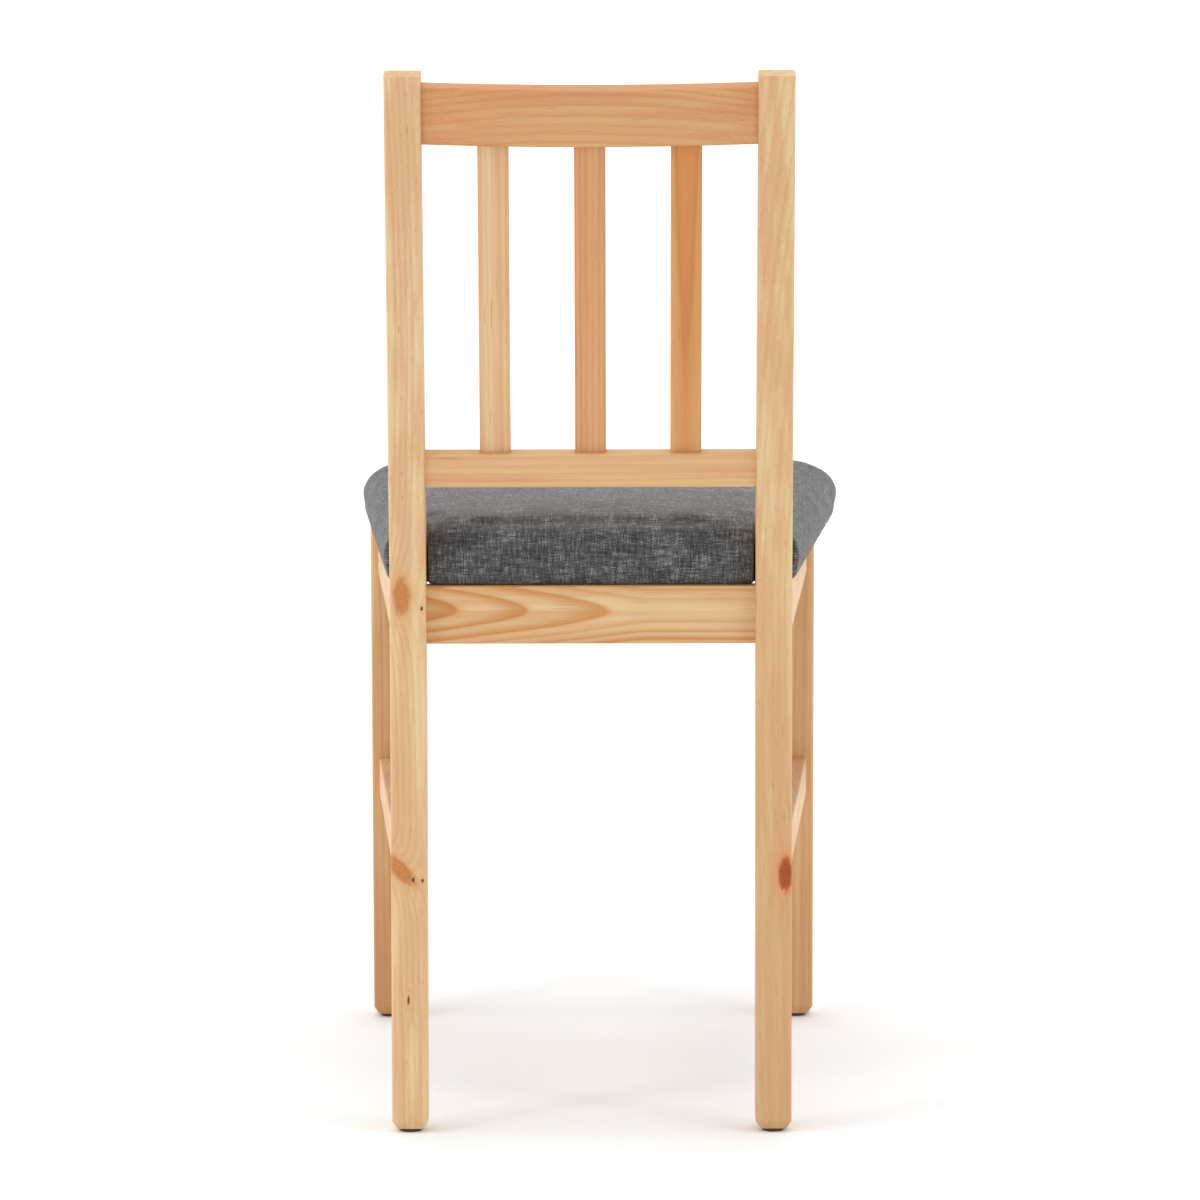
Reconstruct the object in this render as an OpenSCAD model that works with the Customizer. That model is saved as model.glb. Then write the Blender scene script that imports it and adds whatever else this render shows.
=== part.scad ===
// Slat-back dining chair in pine with an upholstered seat.
// Frame: origin on the floor under the middle of the chair, +Z up, the sitter faces -Y.
// "Left" is the +X side, "right" is the -X side.

/* [Overall] */
// Height of the chair over the top of the rear legs
overall_h = 883; // [800:1:1060]
// Width over the outer faces of the rear legs
rear_w = 332; // [290:1:400]
// Width over the outer faces of the front legs
front_w = 395; // [350:1:480]
// Depth from the back of the rear legs at the bend to the front of the front legs
frame_d = 428; // [370:1:500]

/* [Legs] */
// Width of every leg, seen from behind
leg_w = 30; // [26:0.5:40]
// Depth of a front leg, front to back
front_leg_d = 30; // [26:0.5:40]
// Depth of a rear leg at the bend
rear_leg_d = 34; // [30:0.5:44]
// Depth of a rear leg at its top
rear_top_d = 25; // [22:0.5:30]
// Depth of a rear leg at the foot
rear_foot_d = 30; // [24:0.5:40]
// Height of the bend in the rear legs
bend_h = 457; // [430:1:500]
// How far the rear feet stand behind the bend
foot_rake = 29; // [10:1:50]
// Angle that the back leans from upright, in degrees
back_lean = 7.8; // [4:0.1:14]
// Rounding of the long edges of the legs
leg_round = 2.5; // [1:0.1:5]
// Height of the chamfer round the foot of a leg
foot_chamfer_h = 7; // [3:0.5:12]
// How far that chamfer cuts in
foot_chamfer = 4; // [2:0.5:6]

/* [Back] */
// Height of the crest rail
crest_h = 48; // [36:1:70]
// Thickness of the crest rail and of the lower back rail
back_rail_t = 21; // [18:0.1:25.2]
// How far the crest rail bows towards the rear
crest_bow = 11; // [4:0.5:18]
// How far the rear legs stand above the crest rail
crest_drop = 9; // [4:1:25]
// Height of the lower back rail
lower_rail_h = 28; // [24:1:40]
// Distance up the back from the bend to the underside of the lower back rail
lower_rail_up = 82; // [60:1:110]
// How far the back rails lie in from the rear faces of the legs
back_recess = 3.5; // [2:0.5:5]
// Width of a slat
slat_w = 25.5; // [20:0.5:34]
// Thickness of a slat
slat_t = 9.5; // [8:0.5:12]
// Distance between the middles of neighbouring slats
slat_pitch = 78.2; // [60:0.1:84]
// How far a slat enters each rail
slat_tenon = 10; // [6:0.5:14]

/* [Seat frame] */
// Height of the top of the aprons above the floor
apron_top = 454.5; // [420:0.5:500]
// Height of the aprons
apron_h = 48; // [44:1:70]
// Thickness of the aprons and of the side stretchers
apron_t = 18; // [16:0.5:22]
// How far the rear apron lies in from the rear faces of the legs
rear_apron_recess = 8; // [4:0.5:12]
// How far the front apron lies in from the front faces of the legs
front_apron_recess = 5; // [2:0.5:10]
// How far the side rails lie in from the outer face of a rear leg
side_inset_rear = 1; // [0.5:0.5:3]
// How far the side rails lie in from the outer face of a front leg
side_inset_front = 6.5; // [4:0.5:8]
// Height of a side stretcher
stretcher_h = 33; // [30:1:45]
// Height of the underside of the side stretchers above the floor
stretcher_up = 205; // [120:1:280]
// Rounding of the long edges of rails and stretchers
rail_round = 2; // [1:0.1:4]
// Length of a corner block along each rail
block_leg = 42; // [38:1:60]
// Height of a corner block
block_h = 22; // [18:1:30]
// How far a corner block lies below the top of the aprons
block_drop = 9; // [8:1:14]

/* [Seat] */
// Thickness of the seat from the top of the aprons to the top of the cushion
seat_h = 52; // [40:1:70]
// How far the seat stands out in front of the front legs
seat_front_over = 9; // [0:1:30]
// How far the swell of the seat stands out past each front leg
seat_side_over = 16.5; // [4:0.5:30]
// How far the swell of the seat stands out past the side rails at the rear
seat_rear_over = 5.5; // [4:0.5:24]
// Gap between the seat and the rear legs
seat_leg_gap = 4; // [2:0.5:8]
// How far the rear of the seat lies in from the rear faces of the rear legs
seat_rear_inset = 12; // [6:1:20]
// Rounding of the seat's corners in plan
seat_corner = 26; // [10:1:45]
// Thickness of the plywood seat board
board_t = 9; // [8:0.5:12]
// Thickness of the fabric cover
cover_t = 1.2; // [0.8:0.1:2]
// Thickness of the lining under the seat
lining_t = 0.6; // [0.4:0.1:1]
// Width of the hem that is turned under the board
hem_w = 28; // [18:1:45]

/* [Fixings] */
// Diameter of the glued dowels
dowel_d = 8; // [6:0.5:8]
// Length of the glued dowels
dowel_l = 30; // [24:1:34]
// Radial clearance of a dowel or a screw in its hole
hole_clear = 0.1; // [0.05:0.05:0.3]
// Clearance round the end of a slat in its mortise
mortise_clear = 0.2; // [0.1:0.05:0.4]
// Diameter of the wood screws
screw_d = 4; // [3.5:0.5:5]
// Diameter of a glide under a foot
glide_d = 20; // [14:0.5:21]
// Thickness of a glide
glide_t = 3; // [2.5:0.5:5]

/* [Hidden] */
$fn = 48;

// Rounding of the long edges of the back rails and of the slats
back_rail_round = 3;
slat_round = 3.5;

// Finishes
pine = [0.86, 0.70, 0.51];
pine_slat = [0.84, 0.63, 0.42];
beech = [0.80, 0.64, 0.46];
ply = [0.78, 0.66, 0.48];
steel = [0.72, 0.73, 0.74];
grey_fabric = [0.42, 0.41, 0.42];
foam = [0.90, 0.86, 0.72];
black_lining = [0.10, 0.10, 0.11];
dark_plastic = [0.20, 0.16, 0.13];

// Depth: back_y is the rear face of the rear legs at the bend, set so that the
// whole chair is centred on the origin.
back_len = (overall_h - bend_h - rear_top_d * sin(back_lean)) / cos(back_lean);
top_reach = back_len * sin(back_lean);
crest_reach = (crest_bow - back_recess - back_rail_round) * cos(back_lean)
              + (back_len - crest_drop - back_rail_round) * sin(back_lean) + back_rail_round;
seat_front_reach = frame_d + seat_front_over;
back_y = (seat_front_reach - max(top_reach, crest_reach)) / 2;
front_leg_back_y = back_y - frame_d + front_leg_d;
front_leg_mid_y = front_leg_back_y - front_leg_d / 2;

// Widths
rear_leg_x = (rear_w - leg_w) / 2;
front_leg_x = (front_w - leg_w) / 2;
rear_inner_x = rear_leg_x - leg_w / 2;
front_inner_x = front_leg_x - leg_w / 2;

// Front face of a rear leg: it slopes from the foot to the bend.
foot_front_y = back_y + foot_rake - rear_foot_d;
bend_front_y = back_y - rear_leg_d;
front_slope = atan((foot_front_y - bend_front_y) / bend_h);
function rear_leg_front_y(z) = bend_front_y + (bend_h - z) * tan(front_slope);

// Side rails run from the front face of a rear leg to the back face of a front leg.
side_rear_x = rear_w / 2 - side_inset_rear;
side_front_x = front_w / 2 - side_inset_front;
side_run = bend_front_y - front_leg_back_y;
side_angle = atan((side_front_x - side_rear_x) / side_run);
side_len = side_run / cos(side_angle);
function side_outer_x(y) = side_rear_x + (bend_front_y - y) * tan(side_angle);
function side_inner_x(y) = side_outer_x(y) - apron_t / cos(side_angle);

// Aprons
apron_mid_z = apron_top - apron_h / 2;
rear_apron_y = back_y - rear_apron_recess - apron_t / 2;
front_apron_y = back_y - frame_d + front_apron_recess + apron_t / 2;
rear_apron_inner_y = rear_apron_y - apron_t / 2;
front_apron_inner_y = front_apron_y + apron_t / 2;
stretcher_mid_z = stretcher_up + stretcher_h / 2;

// Dowels across an apron's end and along a side rail's end pass each other in the leg.
// Each depth is a share of the apron's height, counted from its top.
cross_dowel_depths = [0.21, 0.65];
along_dowel_depths = [0.43, 0.87];
cross_dowel_z = [for (share = cross_dowel_depths) apron_top - share * apron_h];
along_dowel_z = [for (share = along_dowel_depths) apron_top - share * apron_h];
stretcher_dowel_z = [stretcher_mid_z - stretcher_h / 4, stretcher_mid_z + stretcher_h / 4];
dowel_end_gap = 0.5;
// Straight steps in each rounded edge of a leg
arc_steps = 6;

// Back rails, measured up the back from the bend
crest_mid_up = back_len - crest_drop - crest_h / 2;
lower_mid_up = lower_rail_up + lower_rail_h / 2;
back_rail_mid = -back_recess - back_rail_t / 2;
crest_radius = (rear_inner_x * rear_inner_x + crest_bow * crest_bow) / (2 * crest_bow);
crest_centre = crest_bow - back_recess - crest_radius;
function bow_at(x) =
    crest_bow - crest_radius + sqrt(crest_radius * crest_radius - x * x);
back_dowel_up = [crest_mid_up - crest_h / 4, crest_mid_up + crest_h / 4,
                 lower_mid_up - lower_rail_h / 4, lower_mid_up + lower_rail_h / 4];

// Slats stand a little forward of the lower rail's middle and lean to meet the bow.
slat_foot_in = 2;
slat_foot_y = back_rail_mid - slat_foot_in;
slat_foot_up = lower_rail_up + lower_rail_h;
slat_head_up = crest_mid_up - crest_h / 2;
slat_run = slat_head_up - slat_foot_up;

// Seat
seat_top = apron_top + seat_h;
seat_notch_y = bend_front_y - seat_leg_gap;
seat_rear_y = back_y - seat_rear_inset;
seat_front_y = back_y - seat_front_reach;
seat_tongue_x = rear_inner_x - seat_leg_gap;
seat_rear_x = side_rear_x + seat_rear_over;
seat_front_x = front_w / 2 + seat_side_over;
hem_z = apron_top + lining_t;
board_z = hem_z + cover_t;
foam_z = board_z + board_t;
soft_gap = 0.3;
// The seat is widest at the swell, which runs straight up for swell_h.
swell_share = 0.42;
swell_h = 4;
seat_swell_z = apron_top + swell_share * seat_h;
// How far the underside and the top of the seat draw in from the swell, and the
// part of that which the seat's flatter rear face gives back
seat_tuck = 6;
seat_crown = 20;
rear_keep = 0.75;
// Where the side begins to turn over into the top: how far below it, as a share of
// the seat's thickness, and how far in by then, as a share of the crown
shoulder_depth = 0.25;
shoulder_in = 0.25;
// Thin slice of the seat's form that its hull is stretched over
slice = 0.1;
board_inset = 13;
board_notch = 4;
lining_inset = 1;
// Side of a square that is larger than the space round a rear leg
notch_size = 200;

// Corner blocks and screws
block_z = apron_top - block_drop - block_h;
block_clear = 0.5;
block_wall = 14;
screw_head_d = 2 * screw_d;
screw_head_h = 0.6 * screw_d;
block_screw_bite = 12;
block_screw_l = block_wall + block_screw_bite;
screw_at = 0.36 * block_leg;
seat_screw_at = 0.38 * block_leg;
seat_screw_rear = [rear_inner_x - seat_screw_at, bend_front_y - seat_screw_at];
seat_screw_front = [front_inner_x - seat_screw_at, front_leg_back_y + seat_screw_at];
seat_screw_bite = board_t - 2;
// Cross in a screw's head
cross_w = 1;
cross_d = 1.2;

// Glides and nails
nail_d = 2.4;
nail_l = 16;
nail_head_d = 8;
nail_head_h = 1.2;
nail_cover = 0.2;
nail_floor = glide_t - nail_head_h - nail_cover;
glide_edge = 1;

// Staples
staple_w = 10;
staple_wire = 0.8;
staple_leg = 6;
staple_count = 7;
staple_end_gap = 30;
front_staple_y = front_apron_inner_y + staple_wire;
rear_staple_y = rear_apron_inner_y - staple_wire;

// A flat shape w by d with its corners rounded
module rounded_rect(w, d, r) {
    square([w - 2 * r, d], center = true);
    square([w, d - 2 * r], center = true);
    for (x = [-1, 1], y = [-1, 1])
        translate([x * (w / 2 - r), y * (d / 2 - r)])
            circle(r);
}

// Rounded outline of a leg's section: points [x, y] about the leg's middle line
function leg_outline(w, y_front, y_back) =
    [for (corner = [0 : 3], step = [0 : arc_steps])
        let (turn = 90 * (corner + step / arc_steps),
             side_x = corner == 0 || corner == 3 ? 1 : -1,
             side_y = corner < 2 ? 1 : -1,
             mid_y = (y_front + y_back) / 2,
             half_d = (y_back - y_front) / 2)
        [side_x * (w / 2 - leg_round) + leg_round * cos(turn),
         mid_y + side_y * (half_d - leg_round) + leg_round * sin(turn)]];

// The same outline lying level at height z
function level_ring(w, y_front, y_back, z) =
    [for (p = leg_outline(w, y_front, y_back)) [p[0], p[1], z]];

// The same outline square to the leaning back, at a distance up it from the bend
function leaning_ring(w, depth, up) =
    [for (p = leg_outline(w, -depth, 0))
        [p[0], back_y + p[1] * cos(back_lean) + up * sin(back_lean),
         bend_h - p[1] * sin(back_lean) + up * cos(back_lean)]];

// Solid through rings of equal numbers of points, from the lowest to the highest
module leg_body(rings) {
    count = len(rings[0]);
    last = len(rings) - 1;
    polyhedron(
        points = [for (ring = rings, p = ring) p],
        faces = concat(
            [[for (k = [0 : count - 1]) k]],
            [[for (k = [count - 1 : -1 : 0]) last * count + k]],
            [for (i = [0 : last - 1], k = [0 : count - 1])
                [i * count + k, (i + 1) * count + k, (i + 1) * count + (k + 1) % count]],
            [for (i = [0 : last - 1], k = [0 : count - 1])
                [i * count + k, (i + 1) * count + (k + 1) % count, i * count + (k + 1) % count]]));
}

// Placed at a height up the leaning back, with y = 0 on the rear face of the legs
module on_back(up) {
    translate([0, back_y, bend_h])
        rotate([-back_lean, 0, 0])
            translate([0, 0, up])
                children();
}

// Placed in the frame of a left side rail: x = 0 on its outer face, y = 0 at its rear end
module on_side(z) {
    translate([side_rear_x, bend_front_y, z])
        rotate([0, 0, side_angle])
            children();
}

module right_side() {
    mirror([1, 0, 0])
        children();
}

module both_sides() {
    children();
    right_side()
        children();
}

// Dowel, or its hole when grow is over 0, lying along X with its middle on the joint
module dowel_x(grow = 0) {
    length = dowel_l + (grow > 0 ? 2 * dowel_end_gap : 0);
    rotate([0, 90, 0])
        cylinder(d = dowel_d + 2 * grow, h = length, center = true);
}

// The same, lying along Y
module dowel_y(grow = 0) {
    length = dowel_l + (grow > 0 ? 2 * dowel_end_gap : 0);
    rotate([90, 0, 0])
        cylinder(d = dowel_d + 2 * grow, h = length, center = true);
}

// Dowels at the left ends of the back rails
module back_dowels_left(grow = 0) {
    for (up = back_dowel_up)
        on_back(up)
            translate([rear_inner_x, back_rail_mid, 0])
                dowel_x(grow);
}

// Dowels at the left ends of the rear and front aprons
module cross_dowels_left(grow = 0) {
    for (z = cross_dowel_z) {
        translate([rear_inner_x, rear_apron_y, z])
            dowel_x(grow);
        translate([front_inner_x, front_apron_y, z])
            dowel_x(grow);
    }
}

// Dowels at both ends of the left side rail whose dowels stand at the heights given
module side_dowels_left(heights, grow = 0) {
    for (z = heights) {
        on_side(z)
            translate([-apron_t / 2, (rear_leg_front_y(z) - bend_front_y) / cos(side_angle), 0])
                dowel_y(grow);
        on_side(z)
            translate([-apron_t / 2, -side_len, 0])
                dowel_y(grow);
    }
}

// Nail of a glide, or its hole when grow is over 0, point up
module nail(grow = 0) {
    translate([0, 0, nail_floor]) {
        cylinder(d = nail_head_d + 2 * grow, h = nail_head_h + grow, $fn = 32);
        cylinder(d = nail_d + 2 * grow, h = nail_l + grow, $fn = 24);
    }
}

// Wood screw along +Z with its head's top at z = 0, pointing down
module screw(length, grow = 0) {
    difference() {
        union() {
            translate([0, 0, -screw_head_h - grow])
                cylinder(d1 = screw_d + 2 * grow, d2 = screw_head_d + 2 * grow,
                         h = screw_head_h + grow);
            translate([0, 0, -length - grow])
                cylinder(d = screw_d + 2 * grow, h = length - screw_head_h + grow);
        }
        if (grow == 0)
            for (turn = [0, 90])
                rotate([0, 0, turn])
                    cube([screw_head_d / 2, cross_w, 2 * cross_d], center = true);
    }
}

// Legs -------------------------------------------------------------

module rear_leg() {
    chamfer_z = glide_t + foot_chamfer_h;
    back_foot_y = back_y + foot_rake;
    back_at_chamfer = back_foot_y - foot_rake * chamfer_z / bend_h;
    front_at_chamfer = rear_leg_front_y(chamfer_z);
    color(pine)
        difference() {
            translate([rear_leg_x, 0, 0])
                leg_body([level_ring(leg_w - 2 * foot_chamfer, front_at_chamfer + foot_chamfer,
                                     back_at_chamfer - foot_chamfer, glide_t),
                          level_ring(leg_w, front_at_chamfer, back_at_chamfer, chamfer_z),
                          level_ring(leg_w, bend_front_y, back_y, bend_h),
                          leaning_ring(leg_w, rear_top_d, back_len)]);
            back_dowels_left(hole_clear);
            cross_dowels_left(hole_clear);
            side_dowels_left(along_dowel_z, hole_clear);
            side_dowels_left(stretcher_dowel_z, hole_clear);
            translate([rear_leg_x, back_foot_y - rear_foot_d / 2, 0])
                nail(hole_clear);
        }
}

module front_leg() {
    chamfer_z = glide_t + foot_chamfer_h;
    front_y = front_leg_back_y - front_leg_d;
    color(pine)
        difference() {
            translate([front_leg_x, 0, 0])
                leg_body([level_ring(leg_w - 2 * foot_chamfer, front_y + foot_chamfer,
                                     front_leg_back_y - foot_chamfer, glide_t),
                          level_ring(leg_w, front_y, front_leg_back_y, chamfer_z),
                          level_ring(leg_w, front_y, front_leg_back_y, apron_top)]);
            cross_dowels_left(hole_clear);
            side_dowels_left(along_dowel_z, hole_clear);
            side_dowels_left(stretcher_dowel_z, hole_clear);
            translate([front_leg_x, front_leg_mid_y, 0])
                nail(hole_clear);
        }
}

module rear_leg_left() {
    rear_leg();
}

module rear_leg_right() {
    right_side()
        rear_leg();
}

module front_leg_left() {
    front_leg();
}

module front_leg_right() {
    right_side()
        front_leg();
}

// Back -------------------------------------------------------------

// Slat at x, or its mortise when grow is over 0
module slat_blank(x, grow = 0) {
    lean = atan((bow_at(x) + back_rail_mid - slat_foot_y) / slat_run);
    reach = slat_tenon + (grow > 0 ? dowel_end_gap : 0);
    length = slat_run / cos(lean) + 2 * reach;
    on_back(slat_foot_up)
        translate([x, slat_foot_y, 0])
            rotate([-lean, 0, 0])
                translate([0, 0, -reach])
                    linear_extrude(length)
                        rounded_rect(slat_w + 2 * grow, slat_t + 2 * grow, slat_round);
}

module slats_cut() {
    for (x = [-slat_pitch, 0, slat_pitch])
        slat_blank(x, mortise_clear);
}

module crest_rail() {
    half_turn = asin(rear_inner_x / (crest_radius - back_rail_t)) + 1;
    color(pine)
        difference() {
            intersection() {
                on_back(crest_mid_up)
                    translate([0, crest_centre, 0])
                        rotate([0, 0, 90 - half_turn])
                            rotate_extrude(angle = 2 * half_turn, $fn = 360)
                                translate([crest_radius - back_rail_t / 2, 0])
                                    rounded_rect(back_rail_t, crest_h, back_rail_round);
                translate([-rear_inner_x, back_y - overall_h, bend_h])
                    cube([2 * rear_inner_x, 2 * overall_h, overall_h]);
            }
            slats_cut();
            both_sides()
                back_dowels_left(hole_clear);
        }
}

module lower_back_rail() {
    color(pine)
        difference() {
            on_back(lower_mid_up)
                translate([-rear_inner_x, back_rail_mid, 0])
                    rotate([90, 0, 90])
                        linear_extrude(2 * rear_inner_x)
                            rounded_rect(back_rail_t, lower_rail_h, back_rail_round);
            slats_cut();
            both_sides()
                back_dowels_left(hole_clear);
        }
}

module slat_left() {
    color(pine_slat)
        slat_blank(slat_pitch);
}

module slat_middle() {
    color(pine_slat)
        slat_blank(0);
}

module slat_right() {
    color(pine_slat)
        slat_blank(-slat_pitch);
}

// Seat frame -------------------------------------------------------

// Apron between two legs whose inner faces are at plus and minus inner_x
module cross_apron(inner_x, y) {
    color(pine)
        difference() {
            translate([-inner_x, y, apron_mid_z])
                rotate([90, 0, 90])
                    linear_extrude(2 * inner_x)
                        rounded_rect(apron_t, apron_h, rail_round);
            both_sides() {
                cross_dowels_left(hole_clear);
                block_screws_left(hole_clear);
            }
        }
}

module rear_apron() {
    cross_apron(rear_inner_x, rear_apron_y);
}

module front_apron() {
    cross_apron(front_inner_x, front_apron_y);
}

// Bar along the left side, cut to fit the rear and front legs
module side_bar(mid_z, h) {
    over = 40;
    difference() {
        on_side(mid_z)
            translate([-apron_t / 2, over, 0])
                rotate([90, 0, 0])
                    linear_extrude(side_len + 2 * over)
                        rounded_rect(apron_t, h, rail_round);
        translate([0, bend_front_y, bend_h])
            rotate([front_slope, 0, 0])
                translate([0, 0, -bend_h])
                    cube([rear_w, 4 * over, 2 * bend_h]);
        translate([0, front_leg_back_y - 4 * over, 0])
            cube([front_w, 4 * over, bend_h]);
    }
}

module side_apron() {
    color(pine)
        difference() {
            side_bar(apron_mid_z, apron_h);
            side_dowels_left(along_dowel_z, hole_clear);
            block_screws_left(hole_clear);
        }
}

module side_stretcher() {
    color(pine)
        difference() {
            side_bar(stretcher_mid_z, stretcher_h);
            side_dowels_left(stretcher_dowel_z, hole_clear);
        }
}

module side_apron_left() {
    side_apron();
}

module side_apron_right() {
    right_side()
        side_apron();
}

module side_stretcher_left() {
    side_stretcher();
}

module side_stretcher_right() {
    right_side()
        side_stretcher();
}

// Corner blocks ----------------------------------------------------

// Plan of a left block: dir is -1 at the rear, where it reaches forward, and 1 at the front
module block_plan(leg_x, leg_y, apron_y, dir) {
    far_y = leg_y + dir * block_leg;
    near_y = leg_y + dir * block_clear;
    near_x = leg_x - block_clear;
    polygon([[leg_x - block_leg, apron_y], [near_x, apron_y], [near_x, near_y],
             [side_inner_x(near_y), near_y], [side_inner_x(far_y), far_y],
             [side_inner_x(far_y) - block_wall / 2, far_y],
             [leg_x - block_leg, apron_y + dir * block_wall / 2]]);
}

module rear_block_plan() {
    block_plan(rear_inner_x, bend_front_y, rear_apron_inner_y, -1);
}

module front_block_plan() {
    block_plan(front_inner_x, front_leg_back_y, front_apron_inner_y, 1);
}

// Screws of the two left blocks, or their holes and head pockets when grow is over 0
module block_screws_left(grow = 0) {
    mid_z = block_z + block_h / 2;
    rear_side_y = bend_front_y - block_leg + screw_at / 2;
    front_side_y = front_leg_back_y + block_leg - screw_at / 2;
    translate([rear_inner_x - block_leg + screw_at, rear_apron_inner_y - block_wall, mid_z])
        rotate([90, 0, 0])
            block_screw(grow);
    translate([front_inner_x - block_leg + screw_at, front_apron_inner_y + block_wall, mid_z])
        rotate([-90, 0, 0])
            block_screw(grow);
    for (y = [rear_side_y, front_side_y])
        translate([side_inner_x(y) - block_wall, y, mid_z])
            rotate([0, -90, side_angle])
                block_screw(grow);
}

module block_screw(grow = 0) {
    screw(block_screw_l, grow);
    if (grow > 0)
        cylinder(d = screw_head_d + 2 * grow, h = block_leg);
}

// Screws that pass up through the two left blocks into the seat board
module seat_screws_left(grow = 0) {
    length = board_z + seat_screw_bite - block_z;
    for (at = [seat_screw_rear, seat_screw_front])
        translate([at[0], at[1], block_z])
            rotate([180, 0, 0])
                screw(length, grow);
}

module left_block(rear) {
    color(pine)
        difference() {
            translate([0, 0, block_z])
                linear_extrude(block_h)
                    if (rear)
                        rear_block_plan();
                    else
                        front_block_plan();
            block_screws_left(hole_clear);
            seat_screws_left(hole_clear);
        }
}

module corner_block_rear_left() {
    left_block(true);
}

module corner_block_rear_right() {
    right_side()
        left_block(true);
}

module corner_block_front_left() {
    left_block(false);
}

module corner_block_front_right() {
    right_side()
        left_block(false);
}

// Fixings ----------------------------------------------------------

module back_dowels() {
    color(beech)
        both_sides()
            back_dowels_left();
}

module apron_dowels() {
    color(beech)
        both_sides() {
            cross_dowels_left();
            side_dowels_left(along_dowel_z);
        }
}

module stretcher_dowels() {
    color(beech)
        both_sides()
            side_dowels_left(stretcher_dowel_z);
}

module corner_block_screws() {
    color(steel)
        both_sides()
            block_screws_left();
}

module seat_screws() {
    color(steel)
        both_sides()
            seat_screws_left();
}

// Seat -------------------------------------------------------------

// Outline of the seat in plan, drawn in from its widest line by inset, but by less at the rear
module seat_outline(inset, rear_kept = 0) {
    rear_y = seat_rear_y + rear_kept;
    offset(r = seat_corner)
        offset(delta = -seat_corner - inset)
            polygon([[-seat_front_x, seat_front_y], [seat_front_x, seat_front_y],
                     [seat_rear_x, rear_y], [-seat_rear_x, rear_y]]);
}

// Space that the seat leaves free round the rear legs
module seat_notches(grow) {
    both_sides()
        translate([seat_tongue_x - grow, seat_notch_y - grow, 0])
            cube([notch_size, notch_size, 2 * bend_h]);
}

// Swollen body of the seat, drawn in all round by inset
module seat_body(inset) {
    difference() {
        hull() {
            translate([0, 0, hem_z + inset])
                linear_extrude(slice)
                    seat_outline(seat_tuck + inset, rear_keep * seat_tuck);
            translate([0, 0, seat_swell_z])
                linear_extrude(swell_h)
                    seat_outline(inset);
            translate([0, 0, seat_top - shoulder_depth * seat_h])
                linear_extrude(slice)
                    seat_outline(shoulder_in * seat_crown + inset,
                                 rear_keep * shoulder_in * seat_crown);
            translate([0, 0, seat_top - inset - slice])
                linear_extrude(slice)
                    seat_outline(seat_crown + inset, rear_keep * seat_crown);
        }
        seat_notches(inset);
    }
}

// Outline of the board, drawn in all round by inset
module board_plan(inset) {
    notch_x = seat_tongue_x - board_notch - inset;
    notch_y = seat_notch_y - board_notch - inset;
    difference() {
        seat_outline(board_inset + inset);
        both_sides()
            translate([notch_x, notch_y])
                square(notch_size);
    }
}

module seat_board() {
    color(ply)
        difference() {
            translate([0, 0, board_z])
                linear_extrude(board_t)
                    board_plan(0);
            both_sides()
                seat_screws_left(hole_clear);
        }
}

module seat_foam() {
    color(foam)
        intersection() {
            seat_body(cover_t + soft_gap);
            translate([-front_w, -frame_d * 2, foam_z + soft_gap])
                cube([2 * front_w, 4 * frame_d, seat_h]);
        }
}

// Fabric cover: closed over the foam, with its hem turned under the board
module seat_cover() {
    color(grey_fabric)
        difference() {
            seat_body(0);
            intersection() {
                seat_body(cover_t);
                translate([-front_w, -frame_d * 2, board_z - soft_gap])
                    cube([2 * front_w, 4 * frame_d, 2 * seat_h]);
            }
            translate([0, 0, hem_z - cover_t])
                linear_extrude(3 * cover_t)
                    board_plan(hem_w);
            both_sides()
                seat_screws_left(hole_clear);
        }
}

module seat_lining() {
    color(black_lining)
        difference() {
            translate([0, 0, apron_top])
                linear_extrude(lining_t)
                    board_plan(lining_inset);
            both_sides()
                seat_screws_left(hole_clear);
        }
}

// One staple, crown along X below z = 0 and legs pointing up
module staple() {
    translate([-staple_w / 2, -staple_wire / 2, -staple_wire])
        cube([staple_w, staple_wire, staple_wire]);
    for (side = [-1, 1])
        translate([side * (staple_w - staple_wire) / 2 - staple_wire / 2, -staple_wire / 2, 0])
            cube([staple_wire, staple_wire, staple_leg]);
}

// Staples through the lining and the hem along the front and rear edges of the board
module seat_staples() {
    span = 2 * (seat_tongue_x - staple_end_gap);
    color(steel)
        for (k = [0 : staple_count - 1], y = [front_staple_y, rear_staple_y])
            translate([(k / (staple_count - 1) - 0.5) * span, y, apron_top])
                staple();
}

// Glides -----------------------------------------------------------

module glide(x, y) {
    color(dark_plastic)
        translate([x, y, 0])
            difference() {
                rotate_extrude()
                    polygon([[0, 0], [glide_d / 2 - glide_edge, 0], [glide_d / 2, glide_edge],
                             [glide_d / 2, glide_t], [0, glide_t]]);
                nail(hole_clear);
            }
}

module glide_rear_left() {
    glide(rear_leg_x, back_y + foot_rake - rear_foot_d / 2);
}

module glide_rear_right() {
    glide(-rear_leg_x, back_y + foot_rake - rear_foot_d / 2);
}

module glide_front_left() {
    glide(front_leg_x, front_leg_mid_y);
}

module glide_front_right() {
    glide(-front_leg_x, front_leg_mid_y);
}

module glide_nails() {
    color(steel)
        both_sides() {
            translate([rear_leg_x, back_y + foot_rake - rear_foot_d / 2, 0])
                nail();
            translate([front_leg_x, front_leg_mid_y, 0])
                nail();
        }
}

rear_leg_left();
rear_leg_right();
front_leg_left();
front_leg_right();
crest_rail();
lower_back_rail();
slat_left();
slat_middle();
slat_right();
rear_apron();
front_apron();
side_apron_left();
side_apron_right();
side_stretcher_left();
side_stretcher_right();
corner_block_rear_left();
corner_block_rear_right();
corner_block_front_left();
corner_block_front_right();
back_dowels();
apron_dowels();
stretcher_dowels();
corner_block_screws();
seat_screws();
seat_board();
seat_foam();
seat_cover();
seat_lining();
seat_staples();
glide_rear_left();
glide_rear_right();
glide_front_left();
glide_front_right();
glide_nails();
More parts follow.
